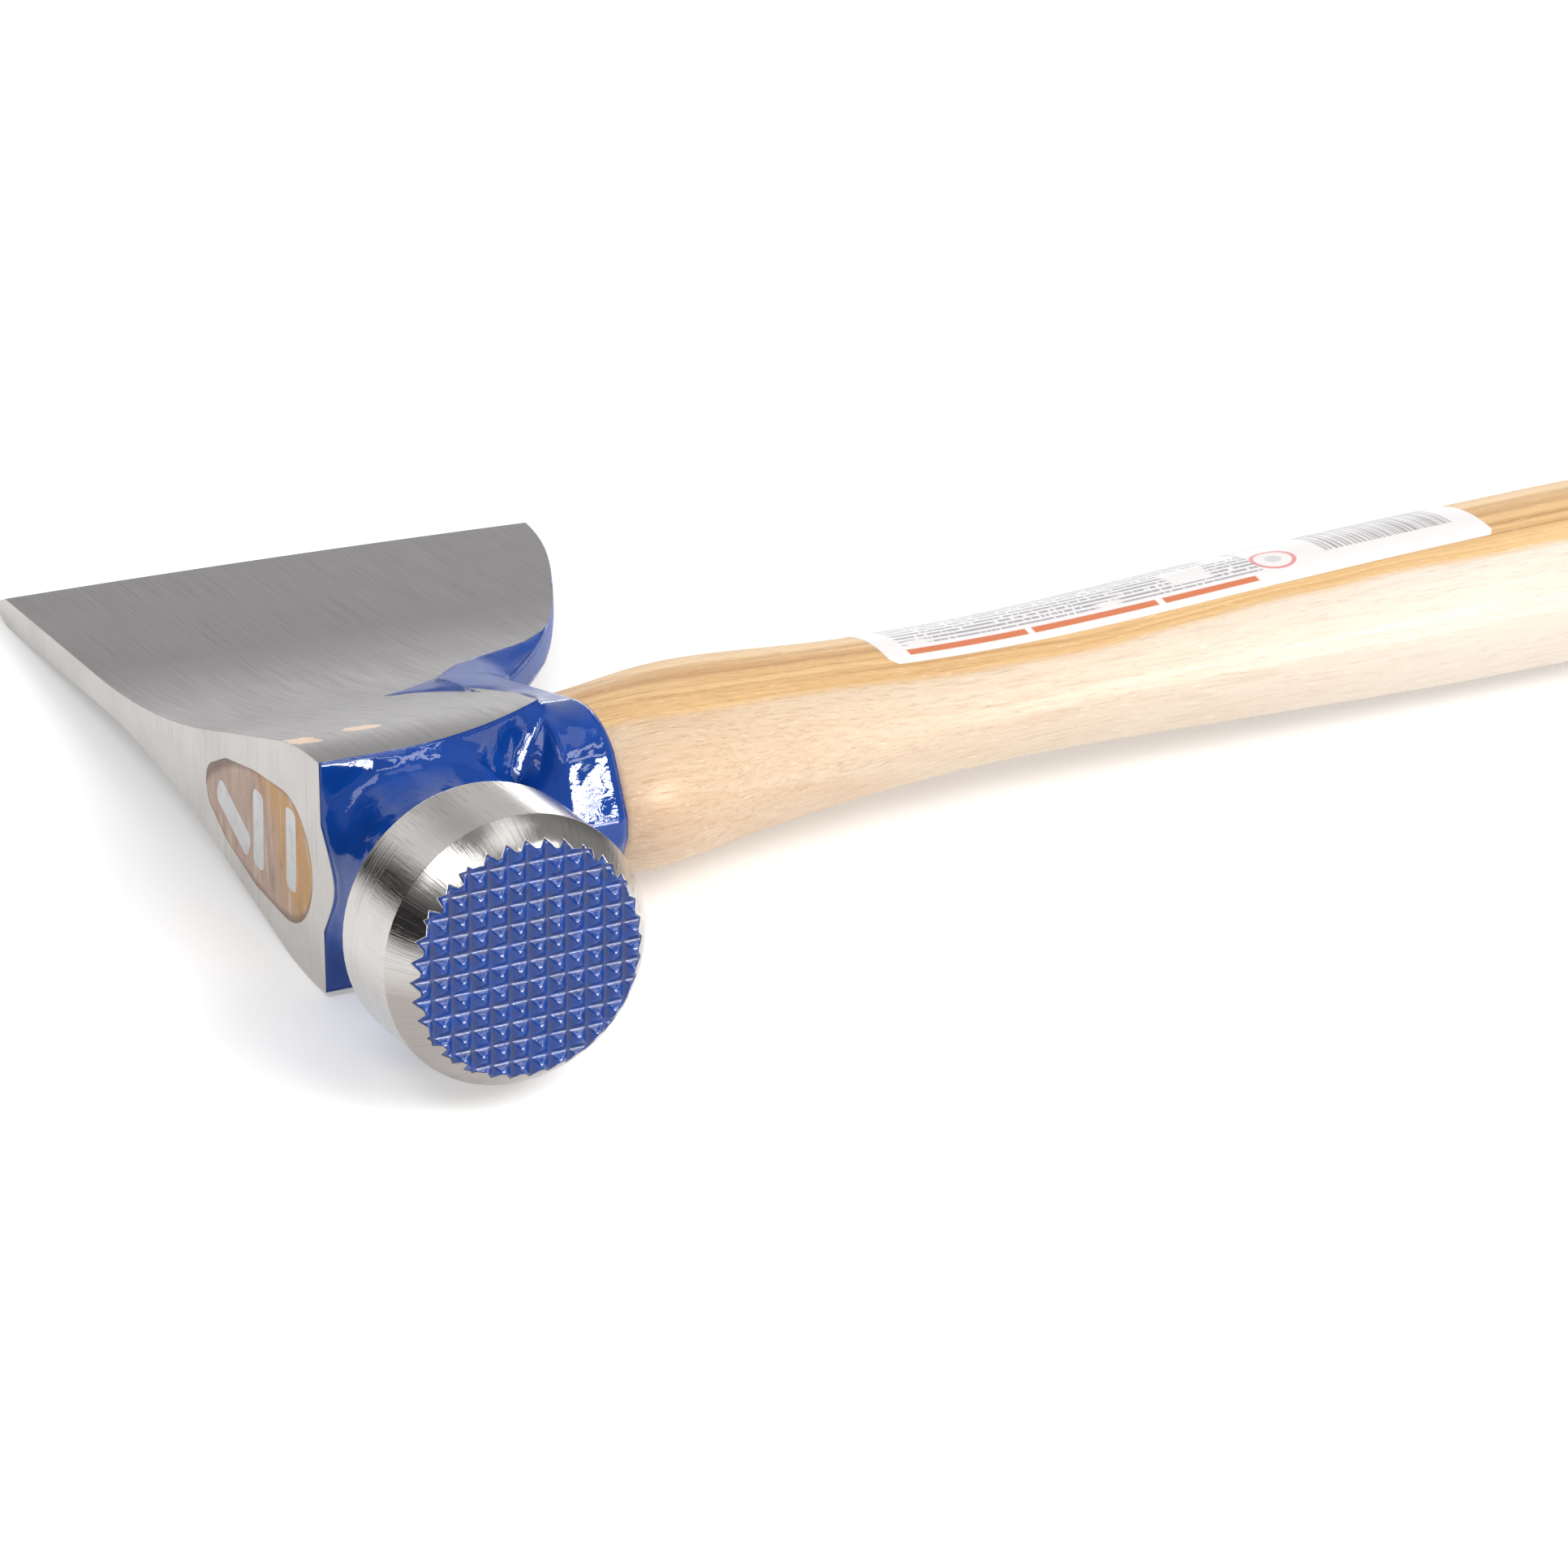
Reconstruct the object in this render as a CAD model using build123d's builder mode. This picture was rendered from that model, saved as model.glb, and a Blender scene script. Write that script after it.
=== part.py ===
from build123d import *
import os

os.makedirs("parts", exist_ok=True)

# Half hatchet with a round milled poll, lying on its cheek.
# The origin is on the ground top face of the head, on the axis of the eye.
#   +X  down the handle, away from the top face
#   +Y  from the striking face towards the cutting edge
#   +Z  out of the upper cheek; the head is the same above and below Z = 0

# ---------------------------------------------------------------- head: blade and eye block
toe = (0.0, 104.6)         # upper end of the cutting edge, in line with the top face
edge_mid = (44.0, 104.2)   # the cutting edge is very slightly crowned
heel = (87.0, 101.9)       # lower end of the cutting edge
edge_half = 0.2            # half thickness left at the sharp edge
bevel_width = 5.0          # honed bevel, across the cheek
blade_half = 2.2           # half thickness of the flat part of the blade
hollow_y = 60.0            # where the hollow of the cheek meets the flat of the blade
cheek_y = 16.6             # where the straight cheek meets the hollow
cheek_half = 8.0           # half thickness there
cheek_run = 26.5           # straight cheek along the eye
front_y = -23.4            # front face of the eye block
front_half = 16.5          # half thickness of the eye block at its front face
block_flat_x = 12.6        # the front face is flat from the top to here
block_mid = (26.2, -20.2)  # a point of the front face's curve
block_end = (37.0, -13.2)  # where the ground cheek ends, beside the collar
block_back = (40.0, 8.0)   # and from there back to the root of the beard, inside the collar

# ---------------------------------------------------------------- head: beard
heel_radius = 2.5
beard = [(87.4, 97.5), (85.2, 86.4), (78.8, 69.5), (67.0, 47.3), (55.8, 33.5), (44.2, 22.5)]
# Forged hollow between the beard and the collar: its floor's outline, and how it opens upwards.
relief_floor = [
    (53.0, 35.0), (61.5, 40.7), (69.0, 48.5), (76.0, 60.0), (95.0, 60.0), (95.0, 10.0), (53.0, 10.0),
]
relief_half = 2.4          # half thickness left at its floor
relief_slope = 62.0        # degrees of its wall away from upright
relief_rise = 8.0          # height of the cut, enough to leave the cheek

# ---------------------------------------------------------------- head: collar under the eye
collar_end_x = 44.2
collar_full_x = 36.4       # the collar has its full section from here down
collar_nose_x = 31.5       # and grows out of the eye block from here
collar_round = 1.3
ridge_y = -26.6            # narrow ridge down the front of the collar
ridge_half = 1.5
shoulder_y = -22.6         # the sides slope back from the ridge to this shoulder
shoulder_half = 10.0
crown_mid = (-18.6, 13.3)  # each side is fullest between here
crown_end = (-12.0, 14.5)  # and here
tail_half = 9.0            # then it slopes in towards the beard
tail_length = 5.0
nose_fullness = 0.4        # share of the full height where it grows out of the block
start_fullness = 0.98
collar_backs = (12.0, 24.0, 22.0, 21.0)   # rear end of the collar at the nose, full start, full end and rim

# ---------------------------------------------------------------- head: poll
poll_x = 12.4              # axis of the poll
neck_x = 13.4              # axis of the neck behind it
neck_radius = 12.8
cove_y = -31.0             # the neck starts to flare here
root_radius = 16.2         # and reaches this radius inside the eye block
root_depth = 1.0           # how far the neck runs into the eye block
ring_radius = 18.6
ring_back_y = -43.5
ring_front_y = -57.4
face_y = -61.9             # plane of the tooth tips
face_radius = 15.3         # where the crowned chamfer meets that plane
chamfer_mid = (17.13, -59.78)   # radius and place of a point halfway along the chamfer
ring_back_chamfer = 1.0
tooth_pitch = 2.7
tooth_tip = 0.25           # flat left on each tooth
tooth_depth = 1.25
groove_count = 11
groove_reach = 19.6        # the grooves are cut this far to each side of the poll's axis

# ---------------------------------------------------------------- eye
# centre y, centre z, radius of the rounds that make the eye's outline at the top face
eye_round = [(-10.6, -1.1, 9.4), (-1.5, -0.9, 8.7), (8.0, -0.3, 6.6), (13.6, 0.0, 4.0)]
eye_draft_shift = -1.4     # the eye leans towards the poll on its way down
eye_draft = 0.9            # and is smaller at the collar

# ---------------------------------------------------------------- wedges
wedge_depth = 26.0
wedge_tip_half = 0.35
wedge_taper = 1.6          # how much shorter the sharp end is
wedge_corner = 0.32        # corner radius as a share of the thickness
# centre y, centre z, lean from the Z axis towards +Y in degrees, length, thickness
wedges = [
    (7.7, -2.0, 63.0, 12.2, 4.1),
    (-1.3, -0.7, -4.0, 11.6, 3.6),
    (-12.8, 0.4, -3.0, 12.0, 3.4),
]

# ---------------------------------------------------------------- handle
# x, half width in Y, half thickness in Z, centre y
stations = [
    (collar_end_x, 16.9, 12.0, -7.2),
    (56.0, 18.6, 13.0, -6.3),
    (68.0, 18.1, 12.6, -3.2),
    (82.0, 16.6, 11.4, -1.9),
    (112.0, 14.8, 10.1, -0.4),
    (150.0, 15.8, 11.2, 1.4),
    (200.0, 17.6, 12.9, 3.0),
    (255.0, 17.9, 13.4, 5.3),
    (320.0, 16.6, 12.6, 6.6),
    (375.0, 16.4, 12.4, 5.4),
    (415.0, 18.6, 13.6, 3.0),
    (444.5, 20.4, 14.6, 1.0),
]
butt_round = 6.0

# ---------------------------------------------------------------- label
label_start_x = 96.0
label_end_x = 205.0
label_front_y = (-8.0, -4.4)   # lower long edge, at the start and at the end
label_back_y = (13.4, 17.6)    # upper long edge
label_skin = 0.15
label_corner = 1.2
label_reach = 30.0         # height of the cut that gives the label its outline


# ================================================================ shapes used by more than one piece
# Egg-shaped section of the eye at the top face and at the lower end of the collar.
with BuildSketch(Plane.YZ) as eye_top:
    for centre_y, centre_z, radius in eye_round:
        with Locations((centre_y, centre_z)):
            Circle(radius)
    make_hull()

with BuildSketch(Plane.YZ.offset(collar_end_x)) as eye_bottom:
    for centre_y, centre_z, radius in eye_round:
        with Locations((centre_y + eye_draft_shift, centre_z)):
            Circle(radius - eye_draft)
    make_hull()

with BuildPart() as tongue:
    loft([eye_top.sketch, eye_bottom.sketch])


# Section of the collar across the handle, with a narrow ridge at the front.
def collar_section(x, back_y, fullness, inset):
    with BuildSketch(Plane.YZ.offset(x)) as section:
        with BuildLine():
            ridge = Line((ridge_y + inset, 0), (ridge_y + inset, ridge_half))
            side = Line(ridge @ 1, (shoulder_y + inset, shoulder_half * fullness - inset / 2))
            fullest = (crown_mid[0] + inset / 2, crown_mid[1] * fullness - inset)
            crown = ThreePointArc(side @ 1, fullest, (crown_end[0], crown_end[1] * fullness - inset))
            slope = Line(crown @ 1, (back_y - tail_length, tail_half * fullness - inset))
            bend = (back_y - 0.28 * tail_length, 0.55 * tail_half * fullness - inset)
            ThreePointArc(slope @ 1, bend, (back_y, 0))
            mirror(about=Plane.XZ)
        make_face()
    return section.sketch


# ================================================================ head
# Eye block and blade: the cheek's profile runs the whole length of the cutting edge.
with BuildPart() as blade:
    with BuildSketch(Plane.YZ):
        with BuildLine():
            tip = Line((toe[1] + 1, 0), (toe[1] + 1, blade_half))
            flat = Line(tip @ 1, (hollow_y, blade_half))
            hollow = TangentArc(flat @ 1, (cheek_y, cheek_half), tangent=flat % 1)
            cheek = Line(hollow @ 1, hollow @ 1 + (hollow % 1) * cheek_run)
            crown = TangentArc(cheek @ 1, (front_y, front_half), tangent=cheek % 1)
            Line(crown @ 1, (front_y, 0))
            mirror(about=Plane.XZ)
        make_face()
    extrude(amount=heel[0] + 2)
    with BuildSketch():
        with BuildLine():
            top = Line(toe, (0, front_y))
            front = Line(top @ 1, (block_flat_x, front_y))
            curve = ThreePointArc(front @ 1, block_mid, block_end)
            end = Line(curve @ 1, block_back)
            Line(end @ 1, beard[-1])
            lower = Spline(*reversed(beard))
            Line(lower @ 1, heel)
            ThreePointArc(heel, edge_mid, toe)
        make_face()
    extrude(amount=front_half + 5, both=True, mode=Mode.INTERSECT)
    heel_corner = blade.edges().filter_by(Axis.Z).sort_by(Axis.X)[-1]
    fillet(heel_corner, heel_radius)
    edge_face = blade.faces().sort_by(Axis.Y)[-1]
    honed = edge_face.edges().filter_by(lambda edge: edge.length > 0.8 * heel[0])
    chamfer(honed, blade_half - edge_half, bevel_width, reference=edge_face)
    # Forged hollow that the grinding wheel doesn't reach, on both cheeks.
    for cheek_side in (Plane.XY.offset(relief_half), Plane.XY.offset(-relief_half)):
        with BuildSketch(cheek_side):
            with BuildLine():
                Polyline(*relief_floor, close=True)
            make_face()
        rise = relief_rise if cheek_side.origin.Z > 0 else -relief_rise
        extrude(amount=rise, taper=-relief_slope, mode=Mode.SUBTRACT)

# Collar: grows out of the eye block and holds the foot of the handle.
nose = collar_section(collar_nose_x, collar_backs[0], nose_fullness, 0.0)
full_start = collar_section(collar_full_x, collar_backs[1], start_fullness, 0.0)
full_end = collar_section(collar_end_x - collar_round, collar_backs[2], 1.0, 0.0)
rim = collar_section(collar_end_x, collar_backs[3], 1.0, collar_round / 2)
with BuildPart() as collar:
    loft([nose, full_start])
    loft([full_start, full_end])
    loft([full_end, rim])

# Poll: round neck with a flared root, turned ring and the toothed striking face.
with BuildPart() as poll:
    with BuildSketch(Plane.XY):
        with BuildLine():
            spine = Line((neck_x, front_y + root_depth), (neck_x, ring_back_y - 1))
            end = Line(spine @ 1, (neck_x + neck_radius, ring_back_y - 1))
            neck = Line(end @ 1, (neck_x + neck_radius, cove_y))
            cove = TangentArc(neck @ 1, (neck_x + root_radius, front_y + root_depth), tangent=neck % 1)
            Line(cove @ 1, spine @ 0)
        make_face()
    revolve(axis=Axis((neck_x, 0, 0), (0, 1, 0)))
    # The grinding of the top face cuts the flare flat.
    with BuildSketch(Plane.YZ):
        with Locations(((front_y + ring_back_y) / 2, 0)):
            Rectangle(front_y - ring_back_y + 4 * root_depth, 4 * root_radius)
    extrude(amount=-root_radius, mode=Mode.SUBTRACT)
    with BuildSketch(Plane.XY):
        with BuildLine():
            back = Polyline(
                (poll_x, face_y),
                (poll_x, ring_back_y),
                (poll_x + ring_radius - ring_back_chamfer, ring_back_y),
                (poll_x + ring_radius, ring_back_y - ring_back_chamfer),
                (poll_x + ring_radius, ring_front_y),
            )
            middle = (poll_x + chamfer_mid[0], chamfer_mid[1])
            crown = ThreePointArc(back @ 1, middle, (poll_x + face_radius, face_y))
            Line(crown @ 1, back @ 0)
        make_face()
    revolve(axis=Axis((poll_x, 0, 0), (0, 1, 0)))
    groove_half = (tooth_pitch - tooth_tip) / 2
    with BuildSketch(Plane.XY.offset(-groove_reach)):
        with GridLocations(tooth_pitch, 0, groove_count, 1):
            with Locations((poll_x, face_y)):
                Polygon((-groove_half, 0), (groove_half, 0), (0, tooth_depth), align=None)
    extrude(amount=2 * groove_reach, mode=Mode.SUBTRACT)
    with BuildSketch(Plane.YZ.offset(poll_x - groove_reach)):
        with GridLocations(0, tooth_pitch, 1, groove_count):
            with Locations((face_y, 0)):
                Polygon((0, -groove_half), (0, groove_half), (tooth_depth, 0), align=None)
    extrude(amount=2 * groove_reach, mode=Mode.SUBTRACT)

with BuildPart() as head:
    add(blade.part)
    add(collar.part)
    add(poll.part)
    add(tongue.part, mode=Mode.SUBTRACT)

head.part.label = "head"
export_step(head.part, "parts/head.step")
print("head cm3", round(head.part.volume / 1000, 1), len(head.part.solids()))

# ================================================================ steel wedges
# Stepped steel wedges driven into the end grain, flush with the top face of the head.
wedge_parts = []
for number, (centre_y, centre_z, lean, length, thickness) in enumerate(wedges, start=1):
    across = Vector(0, 1, 0).rotate(Axis.X, -lean)
    seat = Plane(origin=(0, centre_y, centre_z), x_dir=across, z_dir=(1, 0, 0))
    with BuildPart() as wedge:
        with BuildSketch(seat):
            RectangleRounded(thickness, length, thickness * wedge_corner)
        with BuildSketch(seat.offset(wedge_depth)):
            RectangleRounded(2 * wedge_tip_half, length - wedge_taper, 2 * wedge_tip_half * wedge_corner)
        loft()
    wedge.part.label = f"steel_wedge_{number}"
    export_step(wedge.part, f"parts/steel_wedge_{number}.step")
    wedge_parts.append(wedge.part)


# ================================================================ handle
# Oval sections joined into one smooth surface, grown evenly by a skin where one is asked for.
def handle_body(skin):
    with BuildPart() as body:
        for x, half_width, half_thickness, centre_y in stations:
            with BuildSketch(Plane.YZ.offset(x)):
                with Locations((centre_y, 0)):
                    Ellipse(half_width + skin, half_thickness + skin)
        loft()
    return body.part


with BuildPart() as handle:
    add(handle_body(0.0))
    fillet(handle.faces().sort_by(Axis.X)[-1].edges(), butt_round)
    add(tongue.part)
    for wedge_part in wedge_parts:
        add(wedge_part, mode=Mode.SUBTRACT)

handle.part.label = "handle"
export_step(handle.part, "parts/handle.step")

# ================================================================ label
# Thin paper label wrapped over the upper side of the grip.
with BuildPart() as label:
    add(handle_body(label_skin))
    with BuildSketch(Plane.XY):
        with BuildLine():
            Polyline(
                (label_start_x, label_front_y[0]),
                (label_end_x, label_front_y[1]),
                (label_end_x, label_back_y[1]),
                (label_start_x, label_back_y[0]),
                close=True,
            )
        make_face()
        fillet(vertices(), label_corner)
    extrude(amount=label_reach, mode=Mode.INTERSECT)
    add(handle_body(0.0), mode=Mode.SUBTRACT)

label.part.label = "label"
export_step(label.part, "parts/label.step")
print("handle cm3", round(handle.part.volume / 1000, 1), len(handle.part.solids()))
print("label mm3", round(label.part.volume, 1), len(label.part.solids()))
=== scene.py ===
import math

import bmesh
import bpy
import numpy as np
from mathutils import Matrix, Vector, noise
from mathutils.bvhtree import BVHTree


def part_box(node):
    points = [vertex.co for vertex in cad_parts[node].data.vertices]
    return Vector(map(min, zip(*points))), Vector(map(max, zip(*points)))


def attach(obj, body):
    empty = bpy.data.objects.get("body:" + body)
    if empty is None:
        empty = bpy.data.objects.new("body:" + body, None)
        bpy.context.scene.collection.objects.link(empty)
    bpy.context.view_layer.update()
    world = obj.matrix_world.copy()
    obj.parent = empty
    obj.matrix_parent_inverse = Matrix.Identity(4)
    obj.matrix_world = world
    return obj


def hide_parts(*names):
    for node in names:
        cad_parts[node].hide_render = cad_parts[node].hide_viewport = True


# Looks of a half hatchet with a milled poll, lying on its cheek.
# Row frame: +X down the handle from the ground top face, +Y towards the cutting edge,
# +Z out of the upper cheek.

MM = 0.001

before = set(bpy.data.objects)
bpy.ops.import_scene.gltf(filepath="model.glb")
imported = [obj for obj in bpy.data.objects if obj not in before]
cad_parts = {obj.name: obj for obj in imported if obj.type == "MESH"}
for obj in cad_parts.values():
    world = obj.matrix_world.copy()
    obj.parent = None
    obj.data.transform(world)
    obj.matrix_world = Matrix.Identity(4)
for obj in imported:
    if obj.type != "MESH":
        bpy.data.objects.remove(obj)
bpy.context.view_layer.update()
head_low, head_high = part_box("head")
handle_low, handle_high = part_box("handle")
label_low, label_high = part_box("label")

# ================================================================ places from the frame, in millimetres
COLLAR_END = handle_low.x / MM + 44.2
POLL_AXIS_X = (head_low.x + head_high.z) / MM
RING_RADIUS = head_high.z / MM
FACE_Y = head_low.y / MM
RING_BACK_Y = FACE_Y + 18.4
BUTT_ROUND = 6.0

# Chamfer of the poll as an arc through three points, each as (radius, y).
CHAMFER_BACK = (RING_RADIUS, FACE_Y + 4.5)
CHAMFER_MID = (RING_RADIUS - 1.47, FACE_Y + 2.12)
CHAMFER_FRONT = (RING_RADIUS - 3.3, FACE_Y)

# Line where the grinding of the cheek stops, as (y, x): the steel is bare on the side of smaller x.
GROUND_LINE = [
    (-30, 37), (-13, 37), (0, 38.4), (5, 38.1), (8, 37.0), (11, 35.8), (14.5, 34.4),
    (17.6, 32.0), (19.8, 28.4), (22.2, 32.4), (24.8, 36.0), (28.2, 40.4), (31.2, 42.8),
    (34.2, 45.6), (37.9, 51.6), (42, 60.7), (48.7, 68.0), (59.4, 74.2), (72, 80), (84, 86),
    (110, 100),
]
# A face of the cheek is ground where its normal has more than this share of Z.
CHEEK_SLOPE = 0.75
# Front outline of the eye block, as (x, y).
BLOCK_FRONT = [(0, -23.4), (12.6, -23.4), (19, -22.5), (26.2, -20.2), (32.5, -16.7), (37, -13.2), (60, 0)]
# Outline of the wood seen in the eye, as (y, half height about EYE_MIDDLE_Z).
EYE_HALF = [
    (-20, 0.5), (-19, 3.9), (-16, 7.5), (-10.6, 9.3), (-1.5, 8.7), (8, 6.7), (13.6, 4.0), (16.6, 2.0),
    (17.6, 0.3),
]
EYE_MIDDLE_Z = -0.7


def circle_through(a, b, c):
    """Centre and radius of the circle through three points of a plane."""
    ax, ay = a
    bx, by = b
    cx, cy = c
    d = 2 * (ax * (by - cy) + bx * (cy - ay) + cx * (ay - by))
    ux = ((ax**2 + ay**2) * (by - cy) + (bx**2 + by**2) * (cy - ay) + (cx**2 + cy**2) * (ay - by)) / d
    uy = ((ax**2 + ay**2) * (cx - bx) + (bx**2 + by**2) * (ax - cx) + (cx**2 + cy**2) * (bx - ax)) / d
    return ux, uy, math.hypot(ax - ux, ay - uy)


def add_piece(name, data):
    piece = bpy.data.objects.new(name, data)
    bpy.context.scene.collection.objects.link(piece)
    return piece


def surface_tree(node):
    """Search tree over the faces of a node, in metres."""
    mesh = node.data
    return BVHTree.FromPolygons([v.co for v in mesh.vertices], [p.vertices for p in mesh.polygons])


# ================================================================ shader helpers
def is_colour(value):
    return isinstance(value, (tuple, list)) or getattr(value, "type", None) == "RGBA"


class Nodes:
    """Adds nodes to a node tree. A value may be a number, a colour or another node's output."""

    def __init__(self, tree):
        self.tree = tree
        self.tree.nodes.clear()

    def new(self, kind):
        return self.tree.nodes.new(kind)

    def put(self, socket, value):
        if isinstance(value, bpy.types.NodeSocket):
            self.tree.links.new(value, socket)
        elif isinstance(value, (tuple, list)) and len(value) == 3 and socket.type == "RGBA":
            socket.default_value = (*value, 1.0)
        else:
            socket.default_value = value

    def parts(self, vector):
        node = self.new("ShaderNodeSeparateXYZ")
        self.put(node.inputs[0], vector)
        return node.outputs[0], node.outputs[1], node.outputs[2]

    def vector(self, x, y, z):
        node = self.new("ShaderNodeCombineXYZ")
        for socket, value in zip(node.inputs, (x, y, z)):
            self.put(socket, value)
        return node.outputs[0]

    def math(self, operation, a, b=0.0, c=0.0):
        node = self.new("ShaderNodeMath")
        node.operation = operation
        for socket, value in zip(node.inputs, (a, b, c)):
            self.put(socket, value)
        return node.outputs[0]

    def add(self, a, b):
        return self.math("ADD", a, b)

    def sub(self, a, b):
        return self.math("SUBTRACT", a, b)

    def mul(self, a, b):
        return self.math("MULTIPLY", a, b)

    def most(self, a, b):
        return self.math("MAXIMUM", a, b)

    def inverse(self, a):
        return self.math("SUBTRACT", 1.0, a)

    def hypot(self, a, b):
        return self.math("SQRT", self.add(self.mul(a, a), self.mul(b, b)))

    def step(self, value, edge, softness):
        """0 below the edge and 1 above it, with a soft change between."""
        node = self.new("ShaderNodeMapRange")
        node.interpolation_type = "SMOOTHSTEP"
        self.put(node.inputs["Value"], value)
        self.put(node.inputs["From Min"], edge - softness)
        self.put(node.inputs["From Max"], edge + softness)
        return node.outputs["Result"]

    def band(self, value, low, high, softness):
        """1 between low and high."""
        return self.mul(self.step(value, low, softness), self.inverse(self.step(value, high, softness)))

    def span(self, value, low, high, to_low, to_high):
        """Value carried from the range low to high over to the range to_low to to_high, and held there."""
        node = self.new("ShaderNodeMapRange")
        names = ("Value", "From Min", "From Max", "To Min", "To Max")
        for name, given in zip(names, (value, low, high, to_low, to_high)):
            self.put(node.inputs[name], given)
        return node.outputs["Result"]

    def mix(self, share, a, b):
        """a where share is 0 and b where it is 1, for numbers or colours."""
        node = self.new("ShaderNodeMix")
        colour = is_colour(a) or is_colour(b)
        node.data_type = "RGBA" if colour else "FLOAT"
        first, second, result = (6, 7, 2) if colour else (2, 3, 0)
        self.put(node.inputs[0], share)
        self.put(node.inputs[first], a)
        self.put(node.inputs[second], b)
        return node.outputs[result]


class Shader(Nodes):
    """One material: a Principled surface, with the place on the object in millimetres as x, y and z."""

    def __init__(self, name):
        self.material = bpy.data.materials.new(name)
        self.material.use_nodes = True
        super().__init__(self.material.node_tree)
        output = self.new("ShaderNodeOutputMaterial")
        self.surface = self.new("ShaderNodeBsdfPrincipled")
        self.put(output.inputs[0], self.surface.outputs[0])
        coordinates = self.new("ShaderNodeTexCoord")
        self.uv = coordinates.outputs["UV"]
        scale = self.new("ShaderNodeVectorMath")
        scale.operation = "SCALE"
        self.put(scale.inputs[0], coordinates.outputs["Object"])
        scale.inputs["Scale"].default_value = 1 / MM
        self.point = scale.outputs[0]
        self.x, self.y, self.z = self.parts(self.point)
        self.face_normal = self.new("ShaderNodeNewGeometry").outputs["True Normal"]

    def set(self, **values):
        for name, value in values.items():
            self.put(self.surface.inputs[name.replace("_", " ")], value)

    def noise(self, vector, scale=1.0, detail=2.0, roughness=0.5, distortion=0.0):
        node = self.new("ShaderNodeTexNoise")
        self.put(node.inputs["Vector"], vector)
        self.put(node.inputs["Scale"], scale)
        self.put(node.inputs["Detail"], detail)
        self.put(node.inputs["Roughness"], roughness)
        self.put(node.inputs["Distortion"], distortion)
        return node.outputs["Fac"]

    def grain(self, x_scale, y_scale, z_scale, detail, roughness=0.5):
        """Noise drawn out along the axes of small scale."""
        x, y, z = self.mul(self.x, x_scale), self.mul(self.y, y_scale), self.mul(self.z, z_scale)
        return self.noise(self.vector(x, y, z), 1.0, detail, roughness)

    def shade_noise(self, scale, detail, roughness, low, high):
        """Noise on the object, carried over to the range low to high."""
        return self.span(self.noise(self.point, scale, detail, roughness), 0.3, 0.7, low, high)

    def curve(self, value, points, low, high, scale):
        """y over x through the points, as a smooth graph; low and high bound x, and scale bounds y."""
        node = self.new("ShaderNodeFloatCurve")
        graph = node.mapping.curves[0]
        wanted = [((x - low) / (high - low), 0.5 + y / scale / 2) for x, y in points]
        graph.points[0].location = wanted[0]
        graph.points[1].location = wanted[-1]
        for place in wanted[1:-1]:
            graph.points.new(*place)
        for point in graph.points:
            point.handle_type = "AUTO_CLAMPED"
        node.mapping.update()
        self.put(node.inputs["Value"], self.span(value, low, high, 0.0, 1.0))
        return self.mul(self.sub(node.outputs[0], 0.5), 2 * scale)

    def rounded(self, radius):
        node = self.new("ShaderNodeBevel")
        node.samples = 6
        self.put(node.inputs["Radius"], radius)
        return node.outputs[0]

    def bump(self, height_mm, normal=None):
        node = self.new("ShaderNodeBump")
        self.put(node.inputs["Height"], height_mm)
        node.inputs["Distance"].default_value = MM
        node.inputs["Strength"].default_value = 1.0
        if normal is not None:
            self.put(node.inputs["Normal"], normal)
        return node.outputs[0]


# ================================================================ steel and enamel
ENAMEL_BLUE = (0.005, 0.052, 0.290)
ENAMEL_DEEP = (0.003, 0.036, 0.210)
ENAMEL_DUST = (0.10, 0.16, 0.45)
# Paler blue of the pooled floors between the teeth: a painted reflection.
POOLED_PAINTED_REFLECTION_BLUE = (0.028, 0.046, 0.155)
CHEEK_STEEL = (0.262, 0.251, 0.251)
PLATEAU_STEEL = (0.320, 0.308, 0.308)
TOP_STEEL = (0.60, 0.575, 0.555)
RING_STEEL = (0.60, 0.575, 0.555)
# Darker steel: painted shade on the lower side of the poll's chamfer.
CHAMFER_UNDERSIDE_SHADE = (0.35, 0.32, 0.30)
CLOUD_GREY = (0.24, 0.225, 0.22)
SCRATCH_DARK = (0.16, 0.15, 0.145)
PEELED_TAN = (0.72, 0.54, 0.38)
SATIN_ROUGHNESS = 0.42

# Two peeled spots on the upper cheek, as (x, y, half length, half width), and their slant.
PEELED_SPOTS = [(2.2, -13.3, 2.2, 2.2), (11.4, -11.0, 2.6, 1.9)]
PEELED_SLANT = -0.25


def cheek_masks(s):
    """Bare steel on the cheeks, on the top face and at the cutting edge."""
    slope = s.math("ABSOLUTE", s.parts(s.face_normal)[2])
    wobble = s.mul(s.sub(s.noise(s.point, 0.22, 3.0), 0.5), 2.2)
    line = s.add(s.curve(s.y, GROUND_LINE, -30, 110, 100), wobble)
    front = s.curve(s.x, BLOCK_FRONT, 0, 60, 30)
    cheek = s.mul(s.inverse(s.step(s.sub(s.x, line), 0.0, 0.12)), s.step(slope, CHEEK_SLOPE, 0.02))
    cheek = s.mul(cheek, s.step(s.sub(s.y, front), -0.12, 0.05))
    top = s.inverse(s.step(s.x, 0.06, 0.05))
    top = s.mul(top, s.step(s.y, FACE_Y + 12, 0.2))
    edge = s.mul(s.step(s.y, 100.4, 0.1), s.inverse(s.step(s.x, 86.5, 0.3)))
    return cheek, top, edge


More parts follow.
